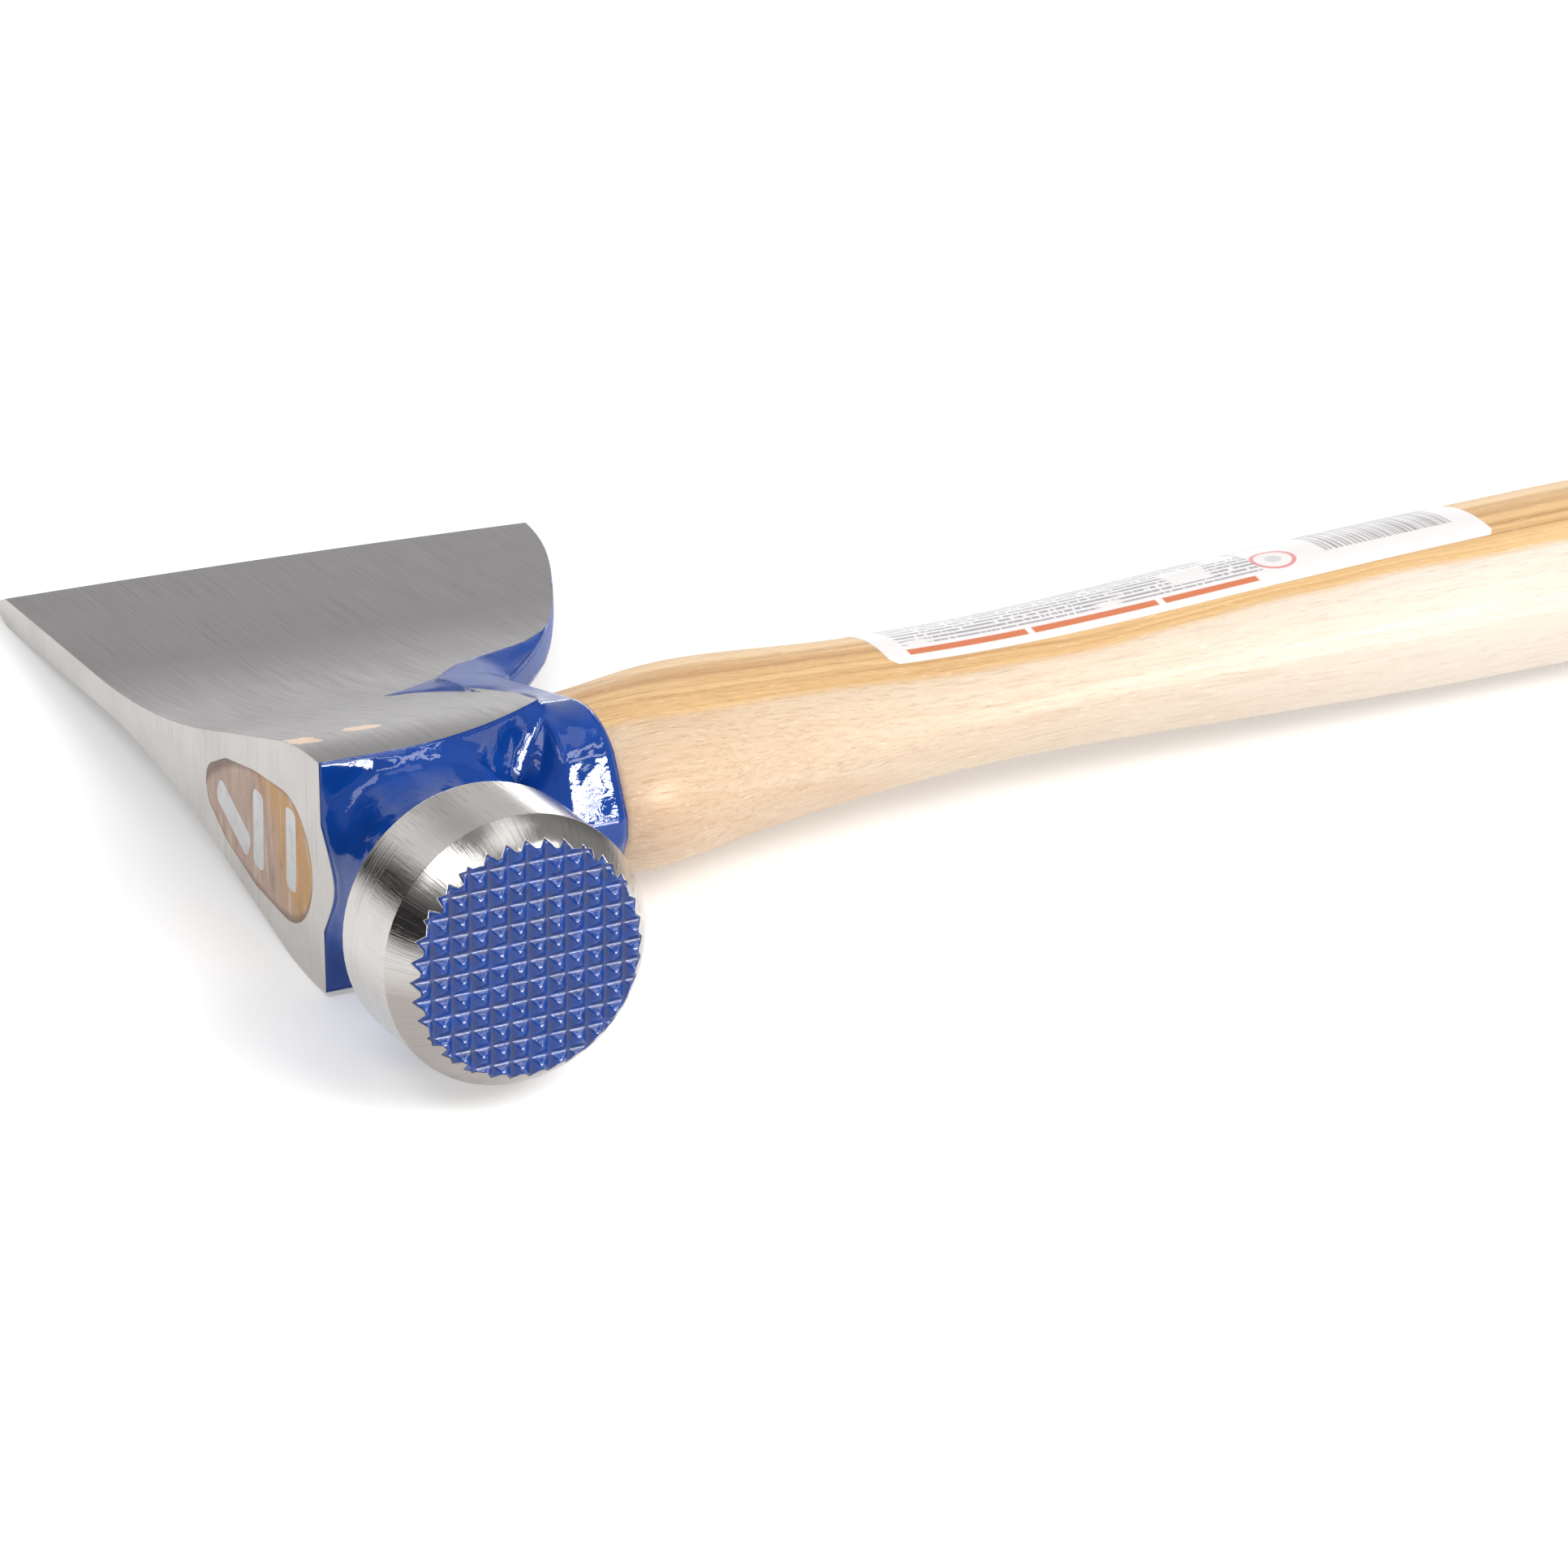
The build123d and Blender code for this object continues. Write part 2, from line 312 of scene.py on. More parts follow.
def poll_masks(s):
    """Turned steel on the poll, with the radius and the angle about the poll's axis."""
    across = s.sub(s.x, POLL_AXIS_X)
    radius = s.hypot(across, s.z)
    angle = s.math("ARCTAN2", s.z, across)
    centre_r, centre_y, arc_radius = circle_through(CHAMFER_BACK, CHAMFER_MID, CHAMFER_FRONT)
    reach = s.hypot(s.sub(radius, centre_r), s.sub(s.y, centre_y))
    on_arc = s.step(reach, arc_radius - 0.05, 0.03)
    chamfer = s.mul(on_arc, s.inverse(s.step(s.y, CHAMFER_BACK[1] + 0.1, 0.05)))
    chamfer = s.mul(chamfer, s.step(radius, CHAMFER_FRONT[0] + 0.15, 0.05))
    side = s.step(radius, RING_RADIUS - 0.7, 0.05)
    side = s.mul(side, s.inverse(s.step(s.y, RING_BACK_Y - 0.05, 0.05)))
    return s.most(chamfer, side), radius, angle


def top_grinding(s):
    """Grinding lines along Z, on the top face and on the wedges."""
    return s.noise(s.vector(s.mul(s.y, 2.4), s.mul(s.z, 0.06), 3.0), 1.0, 5.0, 0.65)


def grinding(s, top, turned, radius, angle):
    """Grinding lines: along Y on the cheeks, along Z on the top face, along the poll's axis on its ring."""
    cheek_lines = s.grain(2.6, 0.05, 0.4, 5.0, 0.65)
    along_ring = s.mul(s.sub(s.y, radius), 0.10)
    round_ring = s.mul(s.mul(angle, RING_RADIUS), 2.2)
    ring_lines = s.noise(s.vector(round_ring, along_ring, 7.0), 1.0, 5.0, 0.7)
    return s.mix(top, s.mix(turned, cheek_lines, ring_lines), top_grinding(s))


def steel_tone(s, cheek, top, turned, lines):
    """Tone of each ground face, with painted shade on the lower side of the poll's chamfer, cloudy staining,
    deep scratches and the peeled spots.
    """
    cheek_tone = s.mix(s.span(s.y, 18.0, 2.0, 0.0, 1.0), CHEEK_STEEL, PLATEAU_STEEL)
    tone = s.mix(top, s.mix(turned, cheek_tone, RING_STEEL), TOP_STEEL)
    # Painted shade: the lower side of the chamfer, below the poll's axis, is darker steel.
    shaded_underside = s.mul(turned, s.span(s.y, FACE_Y + 4.6, FACE_Y + 4.3, 0.0, 1.0))
    shaded_underside = s.mul(shaded_underside, s.span(s.z, 2.0, -3.0, 0.0, 1.0))
    tone = s.mix(shaded_underside, tone, CHAMFER_UNDERSIDE_SHADE)
    cloud = s.noise(s.point, 0.09, 4.0, 0.6)
    tone = s.mix(s.span(cloud, 0.35, 0.75, 0.0, 0.22), tone, CLOUD_GREY)
    tone = s.mix(s.span(lines, 0.56, 0.76, 0.0, s.mix(turned, 0.34, 0.66)), tone, SCRATCH_DARK)
    upper_cheek = s.mul(cheek, s.step(s.z, 0.0, 1.0))
    frayed = s.mul(s.sub(s.noise(s.point, 0.55, 3.0, 0.6), 0.5), 2.2)
    for x, y, long, wide in PEELED_SPOTS:
        from_x = s.sub(s.x, x)
        from_y = s.sub(s.y, s.add(y, s.mul(from_x, PEELED_SLANT)))
        reach = s.hypot(s.mul(from_x, 1 / long), s.mul(from_y, 1 / wide))
        spot = s.mul(s.inverse(s.step(s.add(reach, frayed), 1.0, 0.12)), upper_cheek)
        tone = s.mix(s.mul(spot, 0.95), tone, PEELED_TAN)
    return tone


def enamel_tone(s):
    """Enamel, a little deeper where the film is thick."""
    return s.mix(s.shade_noise(0.12, 2.0, 0.5, 0.0, 1.0), ENAMEL_BLUE, ENAMEL_DEEP)


def head_material():
    s = Shader("ground_steel_and_blue_enamel")
    cheek, top, edge = cheek_masks(s)
    turned, radius, angle = poll_masks(s)
    steel = s.most(s.most(s.most(cheek, edge), top), turned)
    lines = grinding(s, top, turned, radius, angle)
    s.set(Base_Color=s.mix(steel, enamel_tone(s), steel_tone(s, cheek, top, turned, lines)))
    s.set(Metallic=steel, IOR=1.34)
    worn = s.span(lines, 0.3, 0.7, -0.05, 0.08)
    steel_rough = s.add(s.mix(turned, 0.40, 0.13), worn)
    s.set(Roughness=s.mix(steel, s.shade_noise(0.9, 3.0, 0.5, 0.05, 0.11), steel_rough))

    # Relief: slow waves and small ripples in the enamel, fine lines in the steel, worn edges on both.
    waves = s.mul(s.noise(s.point, 0.13, 2.0, 0.5, 0.4), 0.42)
    ripples = s.mul(s.noise(s.point, 0.75, 3.0, 0.55), 0.045)
    brushed = s.mul(lines, s.mix(turned, 0.012, 0.030))
    height = s.mix(steel, s.add(waves, ripples), brushed)
    s.set(Normal=s.bump(height, s.rounded(s.mix(steel, 0.9 * MM, 0.18 * MM))))
    return s.material


def film_material():
    """Enamel film: glossy round the poll and the collar, thinner and satin under the blade."""
    s = Shader("blue_enamel_coat")
    dust = s.noise(s.point, 3.0, 2.0, 0.6)
    s.set(Base_Color=s.mix(s.span(dust, 0.70, 0.80, 0.0, 0.5), enamel_tone(s), ENAMEL_DUST), IOR=1.50)
    satin = s.mul(s.step(s.y, -3.0, 6.0), s.step(s.x, 24.0, 4.0))
    s.set(Roughness=s.mix(satin, s.shade_noise(0.9, 3.0, 0.5, 0.03, 0.09), SATIN_ROUGHNESS))
    s.set(Normal=s.bump(s.mul(s.noise(s.point, 0.55, 3.0, 0.55), 0.07)))
    return s.material


def milled_material():
    """Enamel on the teeth: deep blue on their sides, pooled on the flat floors between them, where a pale
    painted reflection of the bright surroundings lies in cloudy patches.
    """
    s = Shader("blue_enamel_on_teeth")
    floor = s.step(s.y, FACE_Y + GROOVE_FILL - 0.24, 0.10)
    cloud = s.noise(s.point, 0.5, 3.0, 0.6)
    deep = s.mix(s.span(cloud, 0.3, 0.7, 0.0, 1.0), ENAMEL_BLUE, ENAMEL_DEEP)
    # Painted reflection: the pooled floors are paler, in cloudy patches, as if mirroring the bright
    # surroundings.
    colour = s.mix(s.mul(floor, s.span(cloud, 0.38, 0.58, 0.25, 1.0)), deep, POOLED_PAINTED_REFLECTION_BLUE)
    s.set(Base_Color=colour, Roughness=s.mix(floor, 0.05, 0.22), IOR=1.5)
    s.set(Normal=s.bump(s.mul(s.noise(s.point, 1.3, 3.0, 0.6), 0.05)))
    return s.material


WEDGE_STEEL = (0.56, 0.56, 0.57)
WEDGE_SCRATCH = (0.20, 0.19, 0.19)
WEDGE_STAIN = (0.30, 0.25, 0.21)


def wedge_material():
    s = Shader("ground_wedge_steel")
    lines = top_grinding(s)
    tone = s.mix(s.span(lines, 0.55, 0.78, 0.0, 0.4), WEDGE_STEEL, WEDGE_SCRATCH)
    tone = s.mix(s.span(s.noise(s.point, 0.5, 3.0), 0.5, 0.75, 0.0, 0.35), tone, WEDGE_STAIN)
    s.set(Base_Color=tone, Metallic=1.0, Roughness=s.span(lines, 0.3, 0.7, 0.30, 0.48))
    s.set(Normal=s.bump(s.mul(lines, 0.018), s.rounded(0.2 * MM)))
    return s.material


# ================================================================ wood
HEART = (0.74, 0.49, 0.235)
HEART_DARK = (0.52, 0.29, 0.12)
SAP = (0.640, 0.460, 0.300)
SAP_PALE = (0.68, 0.54, 0.39)
SAP_PINK = (0.57, 0.38, 0.245)
SAP_FAR = (0.74, 0.67, 0.585)
GRAIN_BROWN = (0.36, 0.20, 0.10)
GRAIN_PALE = (0.92, 0.82, 0.68)
END_WOOD = (0.43, 0.31, 0.25)
END_ORANGE = (0.50, 0.29, 0.13)
END_PALE = (0.56, 0.45, 0.36)
END_DARK = (0.17, 0.12, 0.10)
LAYER_LEAN = math.radians(52)


def long_grain(s):
    """Colour, roughness and relief along the stick. The heartwood lies above and behind the sapwood."""
    # Growth rings: layers across the stick, lightly bent along it.
    bend = s.mul(s.sub(s.grain(0.012, 0.03, 0.03, 2.0), 0.5), 9.0)
    drift = s.span(s.x, 45.0, 220.0, 0.0, 4.6)
    across = s.mul(s.sub(s.y, drift), math.cos(LAYER_LEAN))
    layer = s.add(s.add(across, s.mul(s.z, math.sin(LAYER_LEAN))), bend)
    bands = s.noise(s.vector(s.mul(s.x, 0.006), s.mul(layer, 0.75), 2.0), 1.0, 3.0, 0.6)
    fibre = s.grain(0.10, 2.4, 2.4, 4.0, 0.6)
    fleck = s.grain(0.42, 3.2, 3.2, 2.0)
    patches = s.grain(0.030, 0.10, 0.10, 3.0, 0.55)

    sap = s.mix(s.span(bands, 0.35, 0.65, 0.0, 0.8), SAP, SAP_PALE)
    sap = s.mix(s.span(s.x, 60.0, 190.0, 0.0, 0.85), sap, SAP_FAR)
    near_collar = s.inverse(s.step(s.add(s.x, s.mul(patches, 30.0)), 86.0, 22.0))
    sap = s.mix(s.mul(near_collar, s.span(patches, 0.45, 0.70, 0.0, 0.9)), sap, SAP_PINK)
    heartwood = s.mix(s.span(bands, 0.42, 0.66, 0.0, 1.0), HEART, HEART_DARK)
    colour = s.mix(s.step(layer, 0.2, 0.9), sap, heartwood)
    nearness = s.span(s.x, 50.0, 170.0, 1.0, 0.45)
    colour = s.mix(s.mul(nearness, s.span(fibre, 0.48, 0.74, 0.0, 0.44)), colour, GRAIN_BROWN)
    colour = s.mix(s.mul(nearness, s.span(fleck, 0.60, 0.70, 0.0, 0.30)), colour, GRAIN_BROWN)
    colour = s.mix(s.span(fleck, 0.36, 0.28, 0.0, 0.36), colour, GRAIN_PALE)
    pits = s.mul(s.span(fleck, 0.60, 0.75, 0.0, -1.0), 0.035)
    height = s.add(s.mul(fibre, 0.030), pits)
    return colour, s.span(fibre, 0.3, 0.7, 0.44, 0.58), height


def end_grain(s):
    """Colour and relief at the top of the eye: rings seen across, stained by the grinding and at the rim."""
    rings = s.noise(s.vector(s.mul(s.y, 0.55), s.mul(s.z, 0.10), 5.0), 1.0, 3.0, 0.55)
    blotch = s.sub(s.noise(s.point, 0.10, 2.0, 0.5), 0.5)
    pores = s.grain(0.5, 3.0, 1.4, 2.0, 0.6)
    slanted = s.add(s.sub(s.y, s.mul(s.z, 0.55)), s.mul(blotch, 14.0))
    colour = s.mix(s.span(slanted, -4.0, -11.0, 0.0, 1.0), END_WOOD, END_ORANGE)
    colour = s.mix(s.span(rings, 0.54, 0.68, 0.0, 0.65), colour, END_PALE)
    colour = s.mix(s.span(rings, 0.44, 0.32, 0.0, 0.42), colour, END_DARK)
    colour = s.mix(s.span(pores, 0.58, 0.74, 0.0, 0.40), colour, END_DARK)
    offset = s.math("ABSOLUTE", s.sub(s.z, EYE_MIDDLE_Z))
    rim = s.add(s.sub(offset, s.curve(s.y, EYE_HALF, -20, 18, 10)), blotch)
    colour = s.mix(s.span(rim, -0.9, 0.1, 0.0, 0.75), colour, END_DARK)
    return colour, s.add(s.mul(pores, 0.10), s.mul(rings, 0.10))


def wood_material():
    s = Shader("lacquered_hickory")
    colour, rough, height = long_grain(s)
    end_colour, end_height = end_grain(s)
    end = s.inverse(s.step(s.x, 0.8, 0.4))
    s.set(Base_Color=s.mix(end, colour, end_colour), Roughness=s.mix(end, rough, 0.75))
    s.set(Normal=s.bump(s.mix(end, height, end_height)))
    s.set(IOR=1.36, Coat_Weight=0.16, Coat_Roughness=0.16, Coat_IOR=1.45)
    return s.material


# ================================================================ label print
PAPER = (0.82, 0.79, 0.785)
# Darker paper: painted shade towards the back of the label.
PAPER_BACK_SHADE = (0.64, 0.61, 0.63)
PAPER_CLOUD = (0.70, 0.68, 0.66)
PRINT_ORANGE = (0.60, 0.125, 0.010)
PRINT_GREY = (0.20, 0.20, 0.25)
PRINT_RED = (0.70, 0.10, 0.10)
PRINT_BLACK = (0.03, 0.03, 0.035)
ROW_PITCH = 1.1
# Three bars, as (start, end) shares of the label's length.
BARS = ((0.035, 0.222), (0.232, 0.433), (0.444, 0.600))


def stroke_print(s, u, v, length, width):
    """Ink of the blocks of short strokes in rows."""
    rows = s.mul(v, 1 / ROW_PITCH)
    row = s.math("FRACT", rows)
    strokes = s.noise(s.vector(s.mul(u, 1.7), s.mul(s.math("FLOOR", rows), 9.7), 0.0), 1.0, 1.0)
    ink = s.mul(s.step(strokes, 0.40, 0.05), s.band(row, 0.25, 0.75, 0.1))
    block_row = s.math("FLOOR", s.mul(v, 1 / 5.0))
    blocks = s.noise(s.vector(s.mul(u, 0.09), s.mul(block_row, 3.3), 4.0), 1.0, 0.0)
    field = s.mul(s.band(u, 4.0, 0.62 * length, 0.4), s.band(v, 3.7, width - 2.0, 0.2))
    return s.mul(s.mul(ink, field), s.step(blocks, 0.40, 0.03))


def upright_print(s, u, v, length, width):
    """Ink of the block of upright lines at the far end."""
    stripes = s.step(s.noise(s.vector(s.mul(u, 3.4), 0.0, 9.0), 1.0, 0.0), 0.5, 0.03)
    lengthways = s.band(u, 0.735 * length, 0.955 * length, 0.1)
    return s.mul(stripes, s.mul(lengthways, s.band(v, 0.22 * width, 0.78 * width, 0.1)))


def label_material(length, width):
    """Generic print: three plain bars, small grey strokes, a red ring and upright lines, in millimetres."""
    s = Shader("printed_label")
    u, v, _ = s.parts(s.uv)
    u = s.mul(u, length)
    v = s.mul(v, width)
    # Painted shade: the paper darkens across its width towards the side of the label that turns away.
    paper = s.mix(s.span(v, 0.30 * width, 0.75 * width, 0.0, 1.0), PAPER, PAPER_BACK_SHADE)
    colour = s.mix(s.shade_noise(0.6, 3.0, 0.5, 0.0, 0.08), paper, PAPER_CLOUD)
    colour = s.mix(s.mul(stroke_print(s, u, v, length, width), 0.78), colour, PRINT_GREY)
    for start, end in BARS:
        bar = s.mul(s.band(u, start * length, end * length, 0.15), s.band(v, 1.5, 2.8, 0.12))
        colour = s.mix(s.mul(bar, 0.92), colour, PRINT_ORANGE)
    ring = s.hypot(s.sub(u, 0.652 * length), s.mul(s.sub(v, 0.27 * width), 1.25))
    colour = s.mix(s.mul(s.band(ring, 3.1, 3.8, 0.15), 0.75), colour, PRINT_RED)
    colour = s.mix(s.mul(s.inverse(s.step(ring, 1.4, 0.3)), 0.30), colour, PRINT_GREY)
    colour = s.mix(s.mul(upright_print(s, u, v, length, width), 0.70), colour, PRINT_BLACK)
    s.set(Base_Color=colour, Roughness=s.shade_noise(1.5, 3.0, 0.5, 0.30, 0.42))
    s.set(Normal=s.bump(s.mul(s.noise(s.point, 0.35, 3.0), 0.10)))
    s.set(Coat_Weight=0.08, Coat_Roughness=0.2)
    return s.material


# ================================================================ shape of the grip
class Grip:
    """Smooth oval sections of the handle, measured on the CAD handle by rays and evened out along X."""

    SAMPLE = 2.0
    EVEN = 3
    # A soft ridge along the front of the grip, as an angle about its axis.
    RIDGE_ANGLE = math.radians(172)
    RIDGE_HEIGHT = 0.25
    RIDGE_WIDTH = 0.16

    def __init__(self, node):
        tree = surface_tree(node)
        self.start = COLLAR_END
        self.end = handle_high.x / MM
        self.xs = np.arange(self.start + 0.2, self.end - BUTT_ROUND, self.SAMPLE)
        rows = np.array([self.measure(tree, x * MM) for x in self.xs]) / MM
        self.rows = np.stack([self.even(column) for column in rows.T])

    def measure(self, tree, x):
        far = 0.1
        low = tree.ray_cast(Vector((x, -far, 0)), Vector((0, 1, 0)))[0].y
        high = tree.ray_cast(Vector((x, far, 0)), Vector((0, -1, 0)))[0].y
        top = tree.ray_cast(Vector((x, (low + high) / 2, far)), Vector((0, 0, -1)))[0].z
        return (low + high) / 2, (high - low) / 2, top

    def even(self, values):
        """Takes the facets of the CAD mesh out of a row of measures and keeps its ends."""
        reach = self.EVEN
        weights = np.hanning(2 * reach + 3)[1:-1]
        before = 2 * values[0] - values[reach:0:-1]
        after = 2 * values[-1] - values[-2 : -reach - 2 : -1]
        return np.convolve(np.concatenate([before, values, after]), weights / weights.sum(), "valid")

    def at(self, x):
        """Centre y, half width and half thickness at x, rounded in at the butt."""
        centre, half_width, half_thickness = (np.interp(x, self.xs, row) for row in self.rows)
        past = max(0.0, x - (self.end - BUTT_ROUND))
        inset = BUTT_ROUND - math.sqrt(max(0.0, BUTT_ROUND**2 - past**2))
        return centre, half_width - inset, half_thickness - inset

    def point(self, x, angle, skin=0.0):
        """Place on the wood at x, or that much further out, in metres."""
        centre, half_width, half_thickness = self.at(x)
        ridge = self.RIDGE_HEIGHT * math.exp(-((angle - self.RIDGE_ANGLE) / self.RIDGE_WIDTH) ** 2)
        ridge *= min(1.0, max(0.0, (x - 70) / 40)) * min(1.0, max(0.0, (self.end - 60 - x) / 40))
        grow = skin + ridge - 0.02
        y = centre + (half_width + grow) * math.cos(angle)
        z = (half_thickness + grow) * math.sin(angle)
        return Vector((x, y, z)) * MM

    def angle_at(self, x, y):
        centre, half_width, _ = self.at(x)
        return math.acos(max(-1.0, min(1.0, (y - centre) / half_width)))


def build_handle(grip, node):
    """The shaped grip as a clean grid, and the CAD tongue that fills the eye."""
    body = bmesh.new()
    around = 144
    butt_angles = [math.radians(a) for a in range(6, 91, 7)]
    stations = list(np.arange(grip.start, grip.end - BUTT_ROUND, 1.6))
    stations += [grip.end - BUTT_ROUND * (1 - math.sin(a)) for a in butt_angles]
    rings = []
    for x in stations:
        rings.append([body.verts.new(grip.point(x, 2 * math.pi * k / around)) for k in range(around)])
    for first, second in zip(rings, rings[1:]):
        for k in range(around):
            after = (k + 1) % around
            body.faces.new((first[k], second[k], second[after], first[after]))
    body.faces.new(rings[0])
    body.faces.new(reversed(rings[-1]))
    mesh = bpy.data.meshes.new("hickory_handle")
    body.to_mesh(mesh)
    body.free()
    for polygon in mesh.polygons:
        polygon.use_smooth = len(polygon.vertices) == 4

    tongue = node.data.copy()
    tongue.name = "hickory_tongue"
    cut = bmesh.new()
    cut.from_mesh(tongue)
    limit = (COLLAR_END + 0.01) * MM
    beyond = [face for face in cut.faces if any(vert.co.x > limit for vert in face.verts)]
    bmesh.ops.delete(cut, geom=beyond, context="FACES")
    cut.to_mesh(tongue)
    cut.free()
    return add_piece("hickory_handle", mesh), add_piece("hickory_tongue", tongue)


LABEL_CORNER = 1.2
LABEL_SKIN = 0.13


def label_strip(grip, share):
    """Place along X, first and last angle, and mean radius of the label at a share of its length."""
    start, end = label_low.x / MM, label_high.x / MM
    x = start + (end - start) * share
    front = grip.angle_at(x, -8.0 + 3.6 * share)
    back = grip.angle_at(x, 13.4 + 4.2 * share)
    _, half_width, half_thickness = grip.at(x)
    return x, front, back, (half_width + half_thickness) / 2


def corner_inset(x):
    """How far the label's long edges draw in at x, at its round corners."""
    near_end = min(x - label_low.x / MM, label_high.x / MM - x)
    if near_end >= LABEL_CORNER:
        return 0.0
    return LABEL_CORNER - math.sqrt(max(0.0, LABEL_CORNER**2 - (LABEL_CORNER - near_end) ** 2))


def build_label(grip):
    """A thin sheet wrapped on the grip, with its printed side out and a small edge all round."""
    lengthways, crossways = 110, 40
    mesh = bmesh.new()
    layer = mesh.loops.layers.uv.new("print")
    grid, places = [], {}
    width = 0.0
    for i in range(lengthways + 1):
        share = i / lengthways
        x, front, back, size = label_strip(grip, share)
        width = max(width, (front - back) * size)
        inset = corner_inset(x) / size
        row = []
        for j in range(crossways + 1):
            angle = front - inset + (back - front + 2 * inset) * j / crossways
            edge = i in (0, lengthways) or j in (0, crossways)
            vert = mesh.verts.new(grip.point(x, angle, 0.02 if edge else LABEL_SKIN))
            places[vert] = (share, j / crossways)
            row.append(vert)
        grid.append(row)
    for i in range(lengthways):
        for j in range(crossways):
            face = mesh.faces.new((grid[i][j], grid[i + 1][j], grid[i + 1][j + 1], grid[i][j + 1]))
            face.smooth = True
            for loop in face.loops:
                loop[layer].uv = places[loop.vert]
    mesh.normal_update()
    data = bpy.data.meshes.new("paper_label")
    mesh.to_mesh(data)
    mesh.free()
    return add_piece("paper_label", data), (label_high.x - label_low.x) / MM, width


# ================================================================ enamel film
class Film:
    """Enamel over the forging: a skin on the CAD head, thick and wavy, that runs out at the bare steel."""

    VOXEL = 0.45
    THICKNESS = 0.26
    SPREAD = 7
    FLOW = 60
    VALLEY_FLOW = 160

    def __init__(self, node):
        self.tree = surface_tree(node)
        self.mesh = self.remeshed(node)
        count = len(self.mesh.vertices)
        self.co = np.zeros(count * 3)
        self.mesh.vertices.foreach_get("co", self.co)
        self.co = self.co.reshape(-1, 3) / MM
        self.normal = np.array([v.normal for v in self.mesh.vertices])
        self.edges = np.zeros(len(self.mesh.edges) * 2, int)
        self.mesh.edges.foreach_get("vertices", self.edges)
        self.edges = self.edges.reshape(-1, 2)
        self.degree = np.bincount(self.edges.ravel(), minlength=count)

    def remeshed(self, node):
        """The head as an even mesh."""
        source = node.data.copy()
        weld = bmesh.new()
        weld.from_mesh(source)
        bmesh.ops.remove_doubles(weld, verts=weld.verts, dist=1e-7)
        weld.to_mesh(source)
        weld.free()
        holder = add_piece("film_source", source)
        modifier = holder.modifiers.new("even", "REMESH")
        modifier.mode = "VOXEL"
        modifier.voxel_size = self.VOXEL * MM
        graph = bpy.context.evaluated_depsgraph_get()
        made = bpy.data.meshes.new_from_object(holder.evaluated_get(graph), depsgraph=graph)
        bpy.data.objects.remove(holder)
        return made

    def spread(self, values, weight, rounds):
        """Evens values out between neighbours, as far as weight lets each point follow."""
        a, b = self.edges.T
        count = len(self.degree)
        columns = []
        for column in values.reshape(count, -1).T:
            column = column.copy()
            for _ in range(rounds):
                total = np.bincount(a, column[b], count) + np.bincount(b, column[a], count)
                column += 0.6 * weight * (total / self.degree - column)
            columns.append(column)
        return np.array(columns).T.reshape(values.shape)

    def move_to(self, place):
        self.mesh.vertices.foreach_set("co", (place * MM).ravel())
        self.mesh.update()

    def bare(self):
        """True where grinding has left bare steel."""
        x, y, z = self.co.T
        across = np.hypot(x - POLL_AXIS_X, z)
        line_y, line_x = np.array(GROUND_LINE).T
        front_x, front_y = np.array(BLOCK_FRONT).T
        cheek = (np.abs(self.normal[:, 2]) > CHEEK_SLOPE) & (x < np.interp(y, line_y, line_x))
        cheek &= y > np.interp(x, front_x, front_y) - 0.1
        top = (x < 0.25) & (self.normal[:, 0] < -0.6)
        ring = (y < RING_BACK_Y + 0.3) & (across > 14)
        return cheek | top | ring | (y > 99.8) | (y < RING_BACK_Y - 0.5)

    @staticmethod
    def wave(p):
        slow = noise.noise(Vector(p) / 4.8)
        quick = noise.noise(Vector(p) / 2.0 + Vector((31, 7, 3)))
        return 0.42 * slow + 0.12 * quick

    @staticmethod
    def sagging(shape):
        """Share of the waves: most on the front above the neck, less on the collar and behind."""
        x, y, z = shape.T
        share = np.clip((-4.0 - y) / 12.0, 0.15, 1.0) * np.clip((z - 1.0) / 7.0, 0.3, 1.0)
        return share * np.where(x > 34, 0.65, 1.0)

    def lifted(self, place, want):
        """Place, raised where the film would otherwise sink into the steel."""
        for index in np.nonzero(want > 0)[0]:
            point = Vector(place[index] * MM)
            found, direction, _, _ = self.tree.find_nearest(point)
            height = (point - found).dot(direction) / MM
            lack = 0.35 * want[index] - height
            if lack > 0:
                place[index] += np.array(direction) * lack
        return place

    def opened(self, soft):
        """The mesh without the points over bare steel."""
        cut = bmesh.new()
        cut.from_mesh(self.mesh)
        hidden = set(np.nonzero(soft < 0.04)[0].tolist())
        gone = [v for v in cut.verts if v.index in hidden]
        bmesh.ops.delete(cut, geom=gone, context="VERTS")
        data = bpy.data.meshes.new("blue_enamel_film")
        cut.to_mesh(data)
        cut.free()
        data.polygons.foreach_set("use_smooth", [True] * len(data.polygons))
        return data

    def build(self):
        soft = self.spread(1.0 - self.bare().astype(float), 1.0, self.SPREAD)
        inside = np.clip(2 * soft - 1, -1, 1)
        painted = np.clip(inside, 0, 1)
        flow = painted**0.7
        shape = self.spread(self.co, flow, self.FLOW)
        x, y, _ = shape.T
        valley = np.exp(-(((x - 33.0) / 4.5) ** 2)) * np.clip((-5.0 - y) / 5.0, 0, 1)
        shape = self.spread(shape, flow * valley, self.VALLEY_FLOW)
        self.move_to(shape)
        normal = np.array([v.normal for v in self.mesh.vertices])
        waves = np.array([self.wave(p) for p in shape]) * painted * self.sagging(shape)
        want = self.THICKNESS * inside
        place = self.lifted(shape + normal * (want + waves)[:, None], want)
        self.move_to(self.spread(place, painted * 0.5, 2))
        return add_piece("blue_enamel_film", self.opened(soft))


# ================================================================ milled face
TOOTH_PITCH = 2.7
GROOVE_DEPTH = 1.25
GROOVE_FILL = 0.84
GROOVES_ASIDE = 5
TIP_FLAT = 0.25
TIP_ROUND = 0.30
MILLED_STEP = 0.14
BLEND = 12


